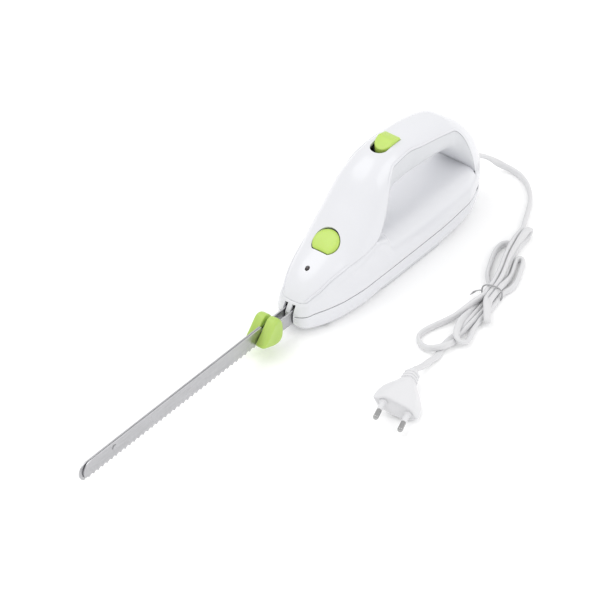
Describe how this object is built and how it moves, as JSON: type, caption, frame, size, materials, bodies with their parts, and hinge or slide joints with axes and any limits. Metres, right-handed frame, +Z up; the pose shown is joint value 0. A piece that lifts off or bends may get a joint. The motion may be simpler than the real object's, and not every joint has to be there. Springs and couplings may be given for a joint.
{
  "type": "uncapping knife",
  "caption": "Mains uncapping knife: white loop-handled housing with a trigger on top, release button, paired serrated blades with green thumb guards, and a flat lead with plug.",
  "frame": {"origin": "on the table below the middle of the knife's length", "axes": "+X from the blade tips to the lead's exit, +Z up, -Y is the right side"},
  "size_m": [0.4834, 0.1627, 0.1068],
  "materials": {
    "white_casing": "gloss white moulding",
    "green_plastic": "satin lime green moulding",
    "blade_steel": "lengthwise ground",
    "plated_steel": "satin",
    "plug_pins": "bright nickel",
    "brass": "satin",
    "gear_plastic": "natural",
    "black_plastic": "matte",
    "circuit_board": "solder resist",
    "capacitor_film": "gloss",
    "lens": "dark translucent red",
    "white_sheath": "satin white flexible sheath",
    "wire_tie": "plastic-coated wire"
  },
  "bodies": {
    "housing": {"main_housing": "white_casing", "top_cover": "white_casing", "handle_liner": "white_casing", "base_cover": "white_casing", "base_screw_front_right": "plated_steel", "base_screw_front_left": "plated_steel", "base_screw_rear_right": "plated_steel", "base_screw_rear_left": "plated_steel", "clamp_screw_right": "plated_steel", "clamp_screw_left": "plated_steel", "wheel_axle": "plated_steel", "axle_bracket_right": "plated_steel", "axle_bracket_left": "plated_steel", "motor_can": "plated_steel", "motor_end_cap": "black_plastic", "motor_ring_front": "black_plastic", "motor_ring_rear": "black_plastic", "front_bush": "brass", "bearing_bulkhead": "gear_plastic", "rectifier_board": "circuit_board", "bridge_rectifier": "black_plastic", "suppressor_capacitor": "capacitor_film", "release_spring": "plated_steel", "microswitch": "black_plastic", "microswitch_lever": "plated_steel", "indicator_lens": "lens", "lead_bush": "white_sheath", "lead_clamp": "gear_plastic", "inner_lead": "white_sheath", "lead_from_knife": "white_sheath", "lead_hank": "white_sheath", "lead_tie": "wire_tie", "lead_to_plug": "white_sheath", "plug_body": "white_sheath", "plug_pin_right": "plug_pins", "plug_pin_left": "plug_pins"},
    "rotor": {"motor_shaft": "plated_steel", "worm": "brass", "rotor_core": "plated_steel", "commutator": "brass", "cooling_fan": "black_plastic"},
    "wheel": {"worm_wheel": "gear_plastic"},
    "right_blade": {"blade_right": "blade_steel", "guard_right": "green_plastic", "blade_rivet": "blade_steel", "blade_carriage_right": "gear_plastic"},
    "left_blade": {"blade_left": "blade_steel", "guard_left": "green_plastic", "blade_carriage_left": "gear_plastic"},
    "right_latch": {"blade_latch_right": "plated_steel"},
    "left_latch": {"blade_latch_left": "plated_steel"},
    "button": {"release_button": "green_plastic"},
    "switch": {"switch_slider": "green_plastic"}
  },
  "joints": [
    {"name": "rotor_spin", "type": "hinge", "parent": "housing", "child": "rotor", "pos_m": [0.1045, 0, 0.022], "axis": [1, 0, 0], "continuous": true},
    {"name": "wheel_spin", "type": "hinge", "parent": "housing", "child": "wheel", "pos_m": [0.0745, 0, 0.0364], "axis": [0, 1, 0], "continuous": true},
    {"name": "right_blade_slide", "type": "slide", "parent": "housing", "child": "right_blade", "axis": [1, 0, 0], "range_m": [-0.0035, 0.0035]},
    {"name": "left_blade_slide", "type": "slide", "parent": "housing", "child": "left_blade", "axis": [1, 0, 0], "range_m": [-0.0035, 0.0035]},
    {"name": "button_press", "type": "slide", "parent": "housing", "child": "button", "axis": [0.515, 0, -0.8572], "range_m": [0, 0.0032], "stiffness_N_per_m": 1200, "deforming": ["release_spring"]},
    {"name": "right_latch_turn", "type": "hinge", "parent": "right_blade", "child": "right_latch", "pos_m": [0.0405, -0.00325, 0.0254], "axis": [0, 1, 0], "range_deg": [0, 13.5]},
    {"name": "left_latch_turn", "type": "hinge", "parent": "left_blade", "child": "left_latch", "pos_m": [0.0405, 0.00325, 0.0254], "axis": [0, 1, 0], "range_deg": [0, 13.5]},
    {"name": "switch_slide", "type": "slide", "parent": "housing", "child": "switch", "axis": [-1, 0, 0], "range_m": [0, 0.005], "stiffness_N_per_m": 600}
  ],
  "couplings": [
    {"joint": "wheel_spin", "follows": "rotor_spin", "ratio": 0.041667},
    {"joint": "left_blade_slide", "follows": "right_blade_slide", "ratio": -1},
    {"joint": "right_latch_turn", "follows": "button_press", "rad_per_m": 73.6},
    {"joint": "left_latch_turn", "follows": "button_press", "rad_per_m": 73.6}
  ]
}
